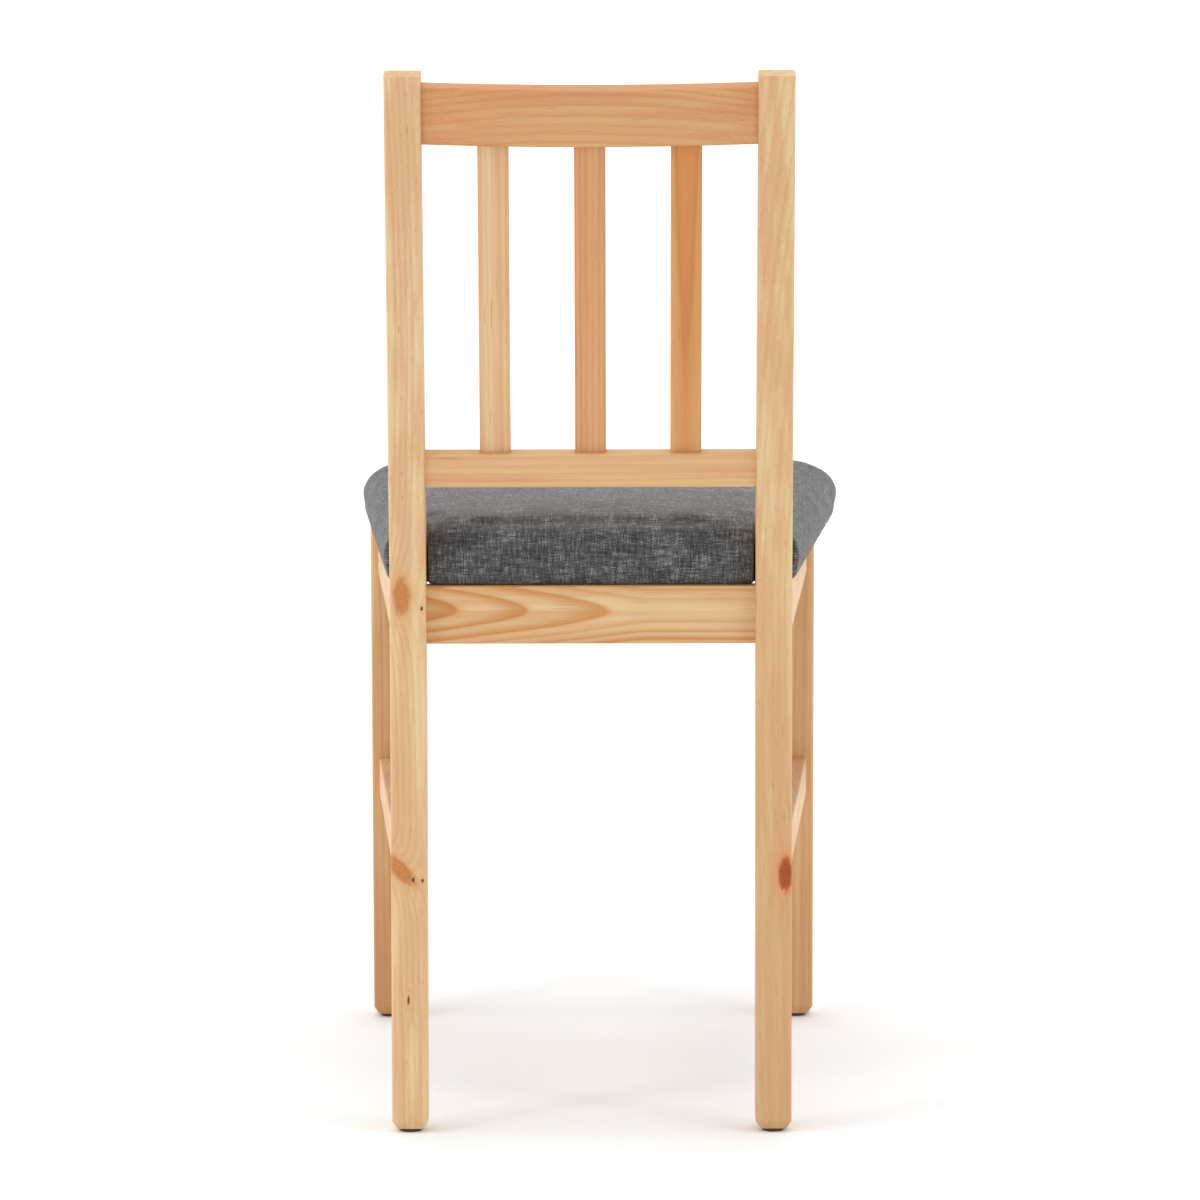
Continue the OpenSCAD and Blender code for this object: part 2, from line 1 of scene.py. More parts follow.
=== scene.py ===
"""Dining chair in clear-finished pine with an upholstered seat, seen from behind.

Everything is in metres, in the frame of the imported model: +Z up, the sitter faces -Y.
"""

import math

import bpy
from mathutils import Matrix, Vector


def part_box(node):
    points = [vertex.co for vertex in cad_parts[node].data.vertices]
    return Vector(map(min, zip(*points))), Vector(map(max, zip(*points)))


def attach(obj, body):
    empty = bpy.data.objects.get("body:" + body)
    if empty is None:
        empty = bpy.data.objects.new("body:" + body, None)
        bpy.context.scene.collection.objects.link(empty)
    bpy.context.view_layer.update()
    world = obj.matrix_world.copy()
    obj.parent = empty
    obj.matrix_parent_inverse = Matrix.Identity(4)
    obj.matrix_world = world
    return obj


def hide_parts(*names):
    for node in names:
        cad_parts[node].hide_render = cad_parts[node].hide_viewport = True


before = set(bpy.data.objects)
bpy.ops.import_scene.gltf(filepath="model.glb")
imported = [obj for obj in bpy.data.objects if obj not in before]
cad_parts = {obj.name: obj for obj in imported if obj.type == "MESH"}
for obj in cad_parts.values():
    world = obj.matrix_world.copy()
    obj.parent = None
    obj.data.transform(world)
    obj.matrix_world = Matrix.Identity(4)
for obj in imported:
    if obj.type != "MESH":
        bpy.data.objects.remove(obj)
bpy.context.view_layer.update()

# ---------------------------------------------------------------- sizes from the frame

SEAT_OVER_FRONT = 0.0165
SEAT_OVER_REAR = 0.0045
SEAT_DRIFT = 0.0072
LEG_GAP = 0.0015
NOTCH_FULLNESS = 0.004
GLIDE_INSET = 0.005
APRON_RECESS = 0.008
BEND_HEIGHT = 0.457
SLAT_THICK = 0.0095

COVER_LO, COVER_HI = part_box("seat_cover")
REAR_LEG_LO, REAR_LEG_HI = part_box("rear_leg_left")
FRONT_LEG_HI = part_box("front_leg_left")[1]

SEAT_UNDER = COVER_LO.z
SEAT_TOP = COVER_HI.z
SEAT_FRONT = COVER_LO.y
SEAT_REAR = COVER_HI.y
SEAT_HALF_FRONT = FRONT_LEG_HI.x + SEAT_OVER_FRONT
SEAT_HALF_REAR = REAR_LEG_HI.x + SEAT_OVER_REAR
TONGUE_HALF = REAR_LEG_LO.x - LEG_GAP
NOTCH_Y = REAR_LEG_LO.y - LEG_GAP
# The rear face of a rear leg at the floor and at the bend
FOOT_REAR_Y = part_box("glide_rear_left")[1].y + GLIDE_INSET
BEND_REAR_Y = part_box("rear_apron")[1].y + APRON_RECESS
RAIL_SPLAY = math.atan((FRONT_LEG_HI.x - REAR_LEG_HI.x) / (REAR_LEG_LO.y - FRONT_LEG_HI.y))


def srgb(red, green, blue):
    """Linear colour from the usual 0 to 255 values."""
    def linear(value):
        share = value / 255
        return share / 12.92 if share <= 0.04045 else ((share + 0.055) / 1.055) ** 2.4
    return (linear(red), linear(green), linear(blue), 1.0)


# ---------------------------------------------------------------- node helper


class Net:
    """Short names for the nodes of one material."""

    def __init__(self, name):
        self.material = bpy.data.materials.new(name)
        self.material.use_nodes = True
        self.tree = self.material.node_tree
        self.shader = self.tree.nodes["Principled BSDF"]
        self.place = self.node("ShaderNodeTexCoord", out="Object")

    def put(self, socket, value):
        if isinstance(value, bpy.types.NodeSocket):
            self.tree.links.new(value, socket)
        else:
            socket.default_value = value

    def node(self, kind, inputs=None, out=0, **settings):
        made = self.tree.nodes.new(kind)
        for key, value in settings.items():
            setattr(made, key, value)
        for key, value in (inputs or {}).items():
            self.put(made.inputs[key], value)
        return made.outputs[out]

    def math(self, operation, first, second=0.0, third=0.0):
        return self.node("ShaderNodeMath", {0: first, 1: second, 2: third}, operation=operation)

    def vector(self, operation, first, second=(0, 0, 0)):
        out = 1 if operation in ("LENGTH", "DOT_PRODUCT", "DISTANCE") else 0
        return self.node("ShaderNodeVectorMath", {0: first, 1: second}, out, operation=operation)

    def split(self, vector):
        made = self.tree.nodes.new("ShaderNodeSeparateXYZ")
        self.put(made.inputs[0], vector)
        return made.outputs[0], made.outputs[1], made.outputs[2]

    def join(self, x, y, z):
        return self.node("ShaderNodeCombineXYZ", {0: x, 1: y, 2: z})

    def noise(self, where, scale, detail=2.0, roughness=0.5, out=0):
        stretched = self.vector("MULTIPLY", where, scale)
        return self.node("ShaderNodeTexNoise", {"Vector": stretched, "Scale": 1.0, "Detail": detail,
                                                "Roughness": roughness}, out)

    def between(self, value, low, high, to_low=0.0, to_high=1.0):
        """Smooth step of value from low to high."""
        return self.node("ShaderNodeMapRange", {0: value, 1: low, 2: high, 3: to_low, 4: to_high},
                         interpolation_type="SMOOTHSTEP")

    def scaled(self, value, low, high):
        """Value from 0 to 1 brought to the range from low to high."""
        return self.node("ShaderNodeMapRange", {0: value, 1: 0.0, 2: 1.0, 3: low, 4: high})

    def blend(self, factor, first, second, kind="MIX"):
        made = self.tree.nodes.new("ShaderNodeMix")
        made.data_type = "RGBA"
        made.blend_type = kind
        self.put(made.inputs["Factor"], factor)
        self.put(made.inputs["A"], first)
        self.put(made.inputs["B"], second)
        return made.outputs["Result"]

    def ramp(self, factor, stops):
        made = self.tree.nodes.new("ShaderNodeValToRGB")
        self.put(made.inputs[0], factor)
        points = made.color_ramp.elements
        while len(points) < len(stops):
            points.new(0.5)
        for point, (at, colour) in zip(points, stops):
            point.position = at
            point.color = colour
        return made.outputs[0]

    def bump(self, height, strength, distance):
        return self.node("ShaderNodeBump", {"Height": height, "Strength": strength,
                                            "Distance": distance})

    def finish(self, colour, roughness, normal=None, **constants):
        self.put(self.shader.inputs["Base Color"], colour)
        self.put(self.shader.inputs["Roughness"], roughness)
        if normal is not None:
            self.put(self.shader.inputs["Normal"], normal)
        for key, value in constants.items():
            self.shader.inputs[key.replace("_", " ")].default_value = value
        return self.material


def grey(value):
    return (value, value, value, 1.0)


# ---------------------------------------------------------------- wood

CREAM = srgb(236, 205, 158)
HONEY = srgb(214, 152, 88)
ROSY = srgb(228, 178, 136)
RESIN = srgb(176, 104, 50)
HEARTWOOD = srgb(200, 122, 62)
FIBRE_DARK = (0.82, 0.80, 0.76, 1.0)
FIBRE_LIGHT = (0.95, 0.935, 0.90, 1.0)
KNOT_TAPER = 0.16
KNOT_RING = 0.0011
BULGE_REACH = 2.6
BULGE_RINGS = 1.9
FIRST_YEAR = 20.0
YEAR_TONES = [(0.0, 0.30), (0.12, 0.02), (0.45, 0.14), (0.82, 0.85), (0.93, 1.0), (1.0, 0.30)]
# Noise scales per metre: two across the grain, then along it
SWAY_SCALE = (16, 16, 3.2)
STRIPE_SCALE = (110, 110, 1.8)
BAND_SCALE = (30, 30, 5)
FIBRE_SCALE = (1300, 1300, 30)
CANAL_SCALE = (620, 620, 26)
SCUFF_SCALE = (70, 70, 18)
FLECK_SCALE = (700, 700, 420)
RAGGED_SCALE = (300, 300, 200)
# Where the foot colour darkens a leg's lower end: painted shade on the front legs, a plain darker
# tone on the right rear leg
FOOT_TONE_AND_SHADE_TOP = 0.10
FOOT_TONE_AND_SHADE_LOW = -0.30
FOOT_TONE_AND_SHADE_SHARE = 0.55


def log_place(net, centre, along, turn, lean):
    """Position in the board's own frame: two cross directions, then the way the grain runs."""
    here = net.vector("SUBTRACT", net.place, centre)
    if lean:
        here = net.node("ShaderNodeVectorRotate", {"Vector": here, "Angle": lean},
                        rotation_type="X_AXIS")
    if turn:
        here = net.node("ShaderNodeVectorRotate", {"Vector": here, "Angle": turn},
                        rotation_type="Z_AXIS")
    x, y, z = net.split(here)
    order = {"x": (y, z, x), "y": (x, z, y), "z": (x, y, z)}[along]
    return net.join(*order)


def knot_distance(net, here, knot):
    """Distance from a knot that tapers forward from the rear face, less along the grain."""
    u, v, w = net.split(net.vector("SUBTRACT", here, knot["at"]))
    leaning = net.math("ADD", w, net.math("MULTIPLY", u, knot["slant"]))
    flat = net.join(u, net.math("DIVIDE", leaning, knot["stretch"]), 0.0)
    ragged = net.noise(here, RAGGED_SCALE, 4.0, 0.65)
    wander = net.scaled(ragged, -0.5 * knot["size"], 0.5 * knot["size"])
    depth = net.math("MAXIMUM", net.math("MULTIPLY", v, -KNOT_TAPER), 0.0)
    return net.math("ADD", net.math("ADD", net.vector("LENGTH", flat), wander), depth)


def sway_grain(net, here, moved, wander):
    """The place in the board, shifted a little so that the grain isn't ruler-straight."""
    sway = net.noise(moved, SWAY_SCALE, 3.0, 0.5, 1)
    sway = net.vector("MULTIPLY", net.vector("SUBTRACT", sway, (0.5, 0.5, 0.5)),
                      (4 * wander, 4 * wander, 0.0))
    return net.split(net.vector("ADD", here, sway))


def bulge_round(net, radius, far, knot, ring):
    """Rings that pass a knot swing out round it."""
    near = net.math("DIVIDE", far, BULGE_REACH * knot["size"])
    hump = net.math("EXPONENT", net.math("MULTIPLY", net.math("MULTIPLY", near, near), -1.0))
    return net.math("ADD", radius, net.math("MULTIPLY", hump, BULGE_RINGS * ring))


def late_wood(net, radius, ring, seed, phase, contrast):
    """The dark part of each yearly ring, plain and with its strength from year to year."""
    growth_rate = net.noise(net.join(radius, seed, 0.0), (0.33 / ring, 1.0, 1.0), 2.0)
    years = net.math("ADD", net.math("DIVIDE", radius, ring),
                     net.math("MULTIPLY", growth_rate, 1.6))
    years = net.math("ADD", years, FIRST_YEAR + phase)
    uneven = net.noise(net.join(net.math("FLOOR", years), seed, 0.0), (1.7, 1.7, 1.7), 0.0)
    late = net.ramp(net.math("FRACT", years), [(at, grey(tone)) for at, tone in YEAR_TONES])
    return late, net.math("MULTIPLY", late, net.scaled(uneven, 0.15 * contrast, 1.55 * contrast))


def early_wood(net, moved, w, light, tint, foot_tone_and_shade):
    """The pale ground between the rings, with broad stripes of a second tone."""
    stripes = net.noise(moved, STRIPE_SCALE, 2.0, 0.5)
    broad = net.noise(moved, BAND_SCALE, 2.0, 0.5)
    shift = net.math("ADD", net.math("MULTIPLY", stripes, 0.6), net.math("MULTIPLY", broad, 0.4))
    base = net.blend(net.between(shift, 0.38, 0.60), light, tint)
    # Darker colour towards the lower end: painted shade on the front legs
    if foot_tone_and_shade:
        share = net.between(w, FOOT_TONE_AND_SHADE_TOP, FOOT_TONE_AND_SHADE_LOW, 0.0, FOOT_TONE_AND_SHADE_SHARE)
        base = net.blend(share, base, foot_tone_and_shade)
    return base


def knot_over(net, here, far, knot, colour):
    """Colour with a knot laid over it: halo, growth rings, flecks and a dark rim."""
    size, soft = knot["size"], knot["soft"]
    halo = net.between(far, 2.1 * size, 0.8 * size, 0.0, 0.6)
    colour = net.blend(halo, colour, knot["halo"])
    growth = net.math("FRACT", net.math("DIVIDE", far, KNOT_RING))
    core = net.blend(net.scaled(growth, 0.0, 0.6), knot["colour"], knot["rim"])
    fleck = net.noise(here, FLECK_SCALE, 3.0, 0.7)
    core = net.blend(net.between(fleck, 0.50, 0.66, 0.0, 0.5), core, knot["fleck"])
    core = net.blend(net.between(far, 0.5 * size, size), core, knot["rim"])
    inside = net.between(far, (1 + soft) * size, (1 - soft) * size, 0.0, knot["cover"])
    return net.blend(inside, colour, core)


def lacquer(net, colour, fibre, late, moved):
    """Satin finish over the fibres."""
    scuff = net.noise(moved, SCUFF_SCALE, 4.0, 0.6)
    gloss = net.scaled(net.math("ADD", net.math("MULTIPLY", fibre, 0.5),
                                net.math("MULTIPLY", scuff, 0.5)), 0.36, 0.56)
    relief = net.math("SUBTRACT", net.math("MULTIPLY", fibre, 0.6),
                      net.math("MULTIPLY", late, 0.25))
    normal = net.bump(relief, 0.35, 0.00012)
    return net.finish(colour, gloss, normal, Specular_IOR_Level=0.34, Coat_Weight=0.05,
                      Coat_Roughness=0.30, IOR=1.48)


def pine(name, centre, along, pith, ring=0.0042, taper=0.0, wander=0.0022, seed=0.0, phase=0.0,
         light=CREAM, dark=HONEY, tint=ROSY, contrast=0.75, heart=0.0, knots=(), turn=0.0,
         lean=0.0, straight=None, foot_tone_and_shade=None):
    """Pine sawn from a log: yearly rings round the pith, fibres, resin streaks and knots.

    The rings close in along the grain by taper, as far as the place named straight.
    The foot colour darkens the lower end; on the front legs it is painted shade.
    """
    net = Net(name)
    here = log_place(net, centre, along, turn, lean)
    moved = net.vector("ADD", here, (seed, 0.7 * seed, 1.3 * seed))
    u, v, w = sway_grain(net, here, moved, wander)
    across = net.join(net.math("SUBTRACT", u, pith[0]), net.math("SUBTRACT", v, pith[1]), 0.0)
    run = w if straight is None else net.math("SMOOTH_MAX", w, straight, 0.02)
    radius = net.math("ADD", net.vector("LENGTH", across), net.math("MULTIPLY", run, taper))
    holes = [knot_distance(net, here, knot) for knot in knots]
    for knot, far in zip(knots, holes):
        radius = bulge_round(net, radius, far, knot, ring)

    late, strength = late_wood(net, radius, ring, seed, phase, contrast)
    colour = net.blend(strength, early_wood(net, moved, w, light, tint, foot_tone_and_shade), dark)
    if heart:
        inner = net.between(radius, 1.25 * heart, 0.8 * heart)
        colour = net.blend(inner, colour, net.blend(strength, dark, HEARTWOOD))

    fibre = net.noise(moved, FIBRE_SCALE, 3.0, 0.6)
    colour = net.blend(1.0, colour, net.ramp(fibre, [(0.25, FIBRE_DARK), (0.75, FIBRE_LIGHT)]),
                       "MULTIPLY")
    canal = net.noise(moved, CANAL_SCALE, 1.0, 0.4)
    colour = net.blend(net.between(canal, 0.70, 0.80, 0.0, 0.45), colour, RESIN)
    for knot, far in zip(knots, holes):
        colour = knot_over(net, here, far, knot, colour)
    return lacquer(net, colour, fibre, late, moved)


def middle(name):
    low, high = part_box(name)
    return tuple((low + high) / 2)


def dress(name, material):
    """Gives a CAD node its finish."""
    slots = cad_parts[name].material_slots
    if not slots:
        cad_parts[name].data.materials.append(material)
    for slot in slots:
        slot.material = material


ORANGE_KNOT = dict(colour=srgb(202, 128, 66), rim=srgb(178, 106, 56), halo=srgb(216, 156, 96),
                   fleck=srgb(142, 84, 42), soft=0.38, cover=0.85)
RED_KNOT = dict(colour=srgb(150, 62, 22), rim=srgb(182, 90, 38), halo=srgb(222, 146, 92),
                fleck=srgb(98, 36, 14), soft=0.25, cover=0.95)
DOT_KNOT = dict(colour=srgb(104, 56, 28), rim=srgb(100, 54, 30), halo=srgb(206, 158, 104),
                fleck=srgb(84, 44, 24), soft=0.3, cover=0.95)


def knot(kind, side, height, size, stretch=1.6, slant=0.0):
    """A knot in a rear leg: its place across the leg and up from the floor, its half-width."""
    y, z = middle("rear_leg_left")[1:]
    face_y = FOOT_REAR_Y + (BEND_REAR_Y - FOOT_REAR_Y) * height / BEND_HEIGHT
    return dict(kind, at=(side, face_y - y, height - z), size=size, stretch=stretch, slant=slant)


def slat_lean(name):
    """Angle between a slat and the upright."""
    low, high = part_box(name)
    return math.atan2(high.y - low.y - SLAT_THICK, high.z - low.z)


def dress_legs():
    left_knots = [knot(ORANGE_KNOT, 0.0050, 0.448, 0.0066, 2.1),
                  knot(ORANGE_KNOT, 0.0080, 0.2215, 0.0125, 0.62, -0.80),
                  knot(DOT_KNOT, -0.0034, 0.2125, 0.0012, 1.8),
                  knot(DOT_KNOT, -0.0113, 0.2120, 0.0011),
                  knot(DOT_KNOT, -0.0115, 0.4380, 0.0011),
                  knot(DOT_KNOT, 0.0010, 0.1120, 0.0010, 3.6)]
    right_knots = [knot(RED_KNOT, -0.0100, 0.217, 0.0062, 2.4)]
    dress("rear_leg_left", pine("pine_rear_leg_left", middle("rear_leg_left"), "z",
                                (0.075, 0.02), 0.0052, 0.004, 0.0012, seed=0.31, contrast=0.36,
                                light=srgb(240, 212, 166), tint=srgb(230, 188, 144),
                                knots=left_knots))
    dress("rear_leg_right", pine("pine_rear_leg_right", middle("rear_leg_right"), "z",
                                 (-0.07, -0.03), 0.0058, 0.010, 0.0014, seed=1.7,
                                 light=srgb(236, 208, 160), tint=srgb(228, 184, 138),
                                 contrast=0.30, knots=right_knots, foot_tone_and_shade=srgb(208, 160, 112)))
    # Painted shade: darker foot colours for the front legs, which stand in shade under the seat
    front_foot_shade_tones = {"left": srgb(176, 122, 70), "right": srgb(196, 150, 106)}
    for side, sign in (("left", 1), ("right", -1)):
        name = "front_leg_" + side
        # Painted shade: these colours are set lower than the rear legs' because the front legs
        # stand under the seat; the rest is the wood's own tone
        dress(name, pine("pine_" + name, middle(name), "z", (sign * 0.05, -0.03), 0.0048, 0.006,
                         0.0018, seed=2.4 + sign, contrast=0.5, light=srgb(234, 196, 146),
                         tint=srgb(224, 174, 126), dark=srgb(204, 140, 80),
                         foot_tone_and_shade=front_foot_shade_tones[side]))


def dress_back():
    dress("crest_rail", pine("pine_crest_rail", middle("crest_rail"), "x", (-0.05, 0.08), 0.0052,
                             0.008, 0.002, seed=3.3, light=srgb(224, 176, 124),
                             tint=srgb(220, 158, 110), dark=srgb(206, 136, 76), contrast=0.5))
    dress("lower_back_rail", pine("pine_lower_back_rail", middle("lower_back_rail"), "x",
                                  (-0.02, -0.05), 0.0058, 0.006, 0.0016, seed=4.1,
                                  light=srgb(232, 192, 142), tint=srgb(228, 172, 132),
                                  contrast=0.4))
    dress("slat_left", pine("pine_slat_left", middle("slat_left"), "z", (0.06, 0.01), 0.005,
                            0.003, 0.0012, seed=5.2, contrast=0.3,
                            lean=slat_lean("slat_left")))
    dress("slat_middle", pine("pine_slat_middle", middle("slat_middle"), "z", (-0.05, 0.02),
                              0.0045, 0.005, 0.0014, seed=6.4, light=srgb(226, 174, 124),
                              tint=srgb(220, 156, 112), dark=srgb(202, 130, 70), contrast=0.45,
                              lean=slat_lean("slat_middle")))
    dress("slat_right", pine("pine_slat_right", middle("slat_right"), "z", (0.0, -0.006), 0.0036,
                             -0.020, 0.0010, seed=7.7, light=srgb(226, 176, 120),
                             tint=srgb(226, 168, 110), dark=srgb(220, 148, 82), contrast=0.5,
                             heart=0.0135, lean=slat_lean("slat_right")))


def dress_seat_frame():
    dress("rear_apron", pine("pine_rear_apron", middle("rear_apron"), "x", (-0.010, 0.0045),
                             0.0051, -0.095, 0.0010, seed=8.3, contrast=1.05,
                             dark=srgb(208, 138, 70), tint=srgb(226, 180, 132),
                             straight=-0.040, phase=0.30))
    dress("front_apron", pine("pine_front_apron", middle("front_apron"), "x", (0.010, 0.006),
                              0.0050, 0.055, 0.0024, seed=9.9, contrast=0.75))
    for side, sign in (("left", 1), ("right", -1)):
        name = "side_apron_" + side
        dress(name, pine("pine_" + name, middle(name), "y", (sign * 0.01, -0.028), 0.0048, 0.02,
                         0.002, seed=11 + sign, turn=sign * RAIL_SPLAY, contrast=0.6))
        name = "side_stretcher_" + side
        dress(name, pine("pine_" + name, middle(name), "y", (-sign * 0.012, 0.03), 0.0046, 0.012,
                         0.002, seed=14 + sign, turn=sign * RAIL_SPLAY, contrast=0.5))
        for end in ("rear", "front"):
            name = f"corner_block_{end}_{side}"
            dress(name, pine("pine_" + name, middle(name), "x", (0.03, 0.03), 0.0042, 0.01,
                             0.0016, seed=17 + 2 * sign + len(end), contrast=0.6))


def beech():
    net = Net("beech")
    fibre = net.noise(net.place, (500, 500, 500), 3.0, 0.6)
    fleck = net.noise(net.place, (160, 160, 900), 2.0, 0.5)
    colour = net.blend(net.between(fleck, 0.5, 0.7), srgb(222, 186, 142), srgb(196, 148, 100))
    return net.finish(colour, net.scaled(fibre, 0.5, 0.7), net.bump(fibre, 0.3, 0.0001))


PLIES = 7


def plywood(name):
    """Thin layers with the grain turned by a right angle from one to the next."""
    net = Net("plywood")
    low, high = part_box(name)
    up = net.split(net.place)[2]
    layer = net.math("MULTIPLY", net.math("DIVIDE", net.math("SUBTRACT", up, low.z),
                                          high.z - low.z), PLIES)
    turned = net.math("MODULO", net.math("FLOOR", layer), 2.0)
    one_way = net.noise(net.place, (18, 420, 60), 3.0, 0.6)
    other_way = net.noise(net.place, (420, 18, 60), 3.0, 0.6)
    grain = net.math("ADD", net.math("MULTIPLY", turned, one_way),
                     net.math("MULTIPLY", net.math("SUBTRACT", 1.0, turned), other_way))
    wood = net.blend(grain, srgb(226, 196, 148), srgb(188, 146, 96))
    glue = net.between(net.math("ABSOLUTE", net.math("SUBTRACT", net.math("FRACT", layer), 0.5)),
                       0.42, 0.5, 0.0, 0.6)
    colour = net.blend(glue, wood, srgb(120, 82, 50))
    return net.finish(colour, net.scaled(grain, 0.55, 0.75), net.bump(grain, 0.4, 0.0002))


def zinc():
    net = Net("zinc")
    smear = net.noise(net.place, (700, 700, 250), 3.0, 0.6)
    colour = net.blend(smear, srgb(214, 216, 214), srgb(168, 170, 172))
    return net.finish(colour, net.scaled(smear, 0.24, 0.46), net.bump(smear, 0.15, 0.00005),
                      Metallic=1.0)


def glide_plastic():
    net = Net("glide_plastic")
    pebble = net.noise(net.place, (2200, 2200, 2200), 2.0, 0.5)
    scratch = net.noise(net.place, (60, 900, 900), 3.0, 0.6)
    colour = net.blend(net.between(scratch, 0.55, 0.75), srgb(62, 44, 34), srgb(96, 76, 62))
    return net.finish(colour, net.scaled(pebble, 0.42, 0.62), net.bump(pebble, 0.35, 0.00008))


LINING_PITCH = 0.0022


def lining_cloth():
    """Black non-woven cloth: pressed dots between loose fibres."""
    net = Net("lining")
    x, y = net.split(net.place)[:2]
    turns = math.tau / LINING_PITCH
    dot = net.math("MULTIPLY", net.math("SINE", net.math("MULTIPLY", x, turns)),
                   net.math("SINE", net.math("MULTIPLY", y, turns)))
    hair = net.noise(net.place, (900, 900, 900), 4.0, 0.65)
    colour = net.blend(net.between(hair, 0.4, 0.7), srgb(26, 26, 28), srgb(52, 52, 55))
    height = net.math("ADD", net.math("MULTIPLY", dot, 0.5), hair)
    return net.finish(colour, 0.92, net.bump(height, 0.5, 0.0002), Specular_IOR_Level=0.2)


# ---------------------------------------------------------------- seat fabric

YARN = 0.00115


def weave_layer(net, u, v):
    """Plain weave on one pair of directions: its height, and a shade for each yarn."""
    a = net.math("DIVIDE", u, YARN)
    b = net.math("DIVIDE", v, YARN)
    cell_a, cell_b = net.math("FLOOR", a), net.math("FLOOR", b)
    over = net.math("MODULO", net.math("ABSOLUTE", net.math("ADD", cell_a, cell_b)), 2.0)
    under = net.math("SUBTRACT", 1.0, over)
    hump_a = net.math("SINE", net.math("MULTIPLY", net.math("FRACT", a), math.pi))
    hump_b = net.math("SINE", net.math("MULTIPLY", net.math("FRACT", b), math.pi))
    wide_a = net.math("SQRT", net.math("ABSOLUTE", hump_a))
    wide_b = net.math("SQRT", net.math("ABSOLUTE", hump_b))
    round_a = net.math("MULTIPLY", wide_a, net.scaled(hump_b, 0.45, 1.0))
    round_b = net.math("MULTIPLY", wide_b, net.scaled(hump_a, 0.45, 1.0))
    height = net.math("ADD", net.math("MULTIPLY", over, round_a),
                      net.math("MULTIPLY", under, round_b))
    warp = net.node("ShaderNodeTexNoise", {"Vector": net.join(cell_a, net.math("MULTIPLY", b, 0.16),
                                                              3.1), "Scale": 0.9, "Detail": 2.0})
    weft = net.node("ShaderNodeTexNoise", {"Vector": net.join(net.math("MULTIPLY", a, 0.16), cell_b,
                                                              8.7), "Scale": 0.9, "Detail": 2.0})
    shade = net.math("ADD", net.math("MULTIPLY", over, warp), net.math("MULTIPLY", under, weft))
    return height, shade


def seat_fabric():
    """Grey melange cloth, woven from light and dark yarns."""
    net = Net("seat_fabric")
    x, y, z = net.split(net.place)
    facing = net.node("ShaderNodeNewGeometry", out="Normal")
    nx, ny, nz = net.split(facing)
    weights = [net.math("POWER", net.math("ABSOLUTE", part), 6.0) for part in (nx, ny, nz)]
    total = net.math("ADD", net.math("ADD", weights[0], weights[1]), weights[2])
    layers = [weave_layer(net, y, z), weave_layer(net, x, z), weave_layer(net, x, y)]

    def mixed(index):
        parts = [net.math("MULTIPLY", weight, layer[index])
                 for weight, layer in zip(weights, layers)]
        whole = net.math("ADD", net.math("ADD", parts[0], parts[1]), parts[2])
        return net.math("DIVIDE", whole, total)

    height, shade = mixed(0), mixed(1)
    warp_slub = net.noise(net.place, (420, 70, 70), 3.0, 0.6)
    weft_slub = net.noise(net.place, (60, 380, 380), 3.0, 0.6)
    slub = net.math("ADD", net.math("MULTIPLY", warp_slub, 0.5),
                    net.math("MULTIPLY", weft_slub, 0.5))
    cloud = net.noise(net.place, (34, 34, 34), 2.0, 0.5)
    tone = net.math("ADD", net.math("MULTIPLY", shade, 0.42),
                    net.math("ADD", net.math("MULTIPLY", slub, 0.46),
                             net.math("MULTIPLY", cloud, 0.12)))
    colour = net.ramp(tone, [(0.37, srgb(46, 46, 46)), (0.46, srgb(76, 75, 76)),
                             (0.53, srgb(102, 102, 103)), (0.63, srgb(164, 164, 164))])
    # Painted shade in the weave: the colour is darkened down into the low parts between the yarns
    valley_shade = net.scaled(height, 0.55, 1.0)
    colour = net.blend(1.0, colour, net.ramp(valley_shade, [(0.0, grey(0.0)), (1.0, grey(1.0))]),
                       "MULTIPLY")
    fuzz = net.noise(net.place, (2600, 2600, 2600), 2.0, 0.6)
    relief = net.math("ADD", height, net.math("MULTIPLY", fuzz, 0.25))
    return net.finish(colour, 0.9, net.bump(relief, 0.55, 0.0003), Specular_IOR_Level=0.2,
                      Sheen_Weight=0.28, Sheen_Roughness=0.45)


# ---------------------------------------------------------------- cushion

CORNER = 0.030
CORNER_STEPS = 8
SWELL = 0.002
VOXEL = 0.0045
PUFF_LIMIT = 0.004
HELD_HEIGHT = 0.012
CLOTH_FRAMES = 20
HEM_FLAT = 0.003
HEM_RISE = 0.009
# Share of the height, how far the sides draw in there, how far the rear does
PROFILE = [(0.0, 0.007, 0.003), (0.12, 0.0045, 0.001), (0.26, 0.002, 0.0), (0.38, 0.0005, 0.0),
           (0.50, 0.0008, 0.0), (0.62, 0.003, 0.0005), (0.74, 0.007, 0.001),
           (0.83, 0.012, 0.003), (0.90, 0.018, 0.007), (0.95, 0.027, 0.014),
           (0.98, 0.040, 0.026), (1.0, 0.062, 0.048), (1.01, 0.095, 0.082)]


def plan_loop(inset, rear_inset):
    """Rounded outline of the seat in plan, drawn in by inset, and at the rear by rear_inset."""
    front, rear = SEAT_FRONT + inset, SEAT_REAR - rear_inset
    corners = [(SEAT_HALF_FRONT - inset, front), (SEAT_HALF_REAR - inset, rear),
               (inset - SEAT_HALF_REAR, rear), (inset - SEAT_HALF_FRONT, front)]
    points = []
    for k, (cx, cy) in enumerate(corners):
        before = Vector(corners[k - 1]) - Vector((cx, cy))
        after = Vector(corners[(k + 1) % 4]) - Vector((cx, cy))
        half = before.angle(after) / 2
        reach = CORNER / math.tan(half)
        start = Vector((cx, cy)) + before.normalized() * reach
        end = Vector((cx, cy)) + after.normalized() * reach
        hub = Vector((cx, cy)) + (before.normalized() + after.normalized()).normalized() \
            * (CORNER / math.sin(half))
        for step in range(CORNER_STEPS + 1):
            share = step / CORNER_STEPS
            point = start.lerp(end, share)
            points.append(hub + (point - hub).normalized() * CORNER)
    return points


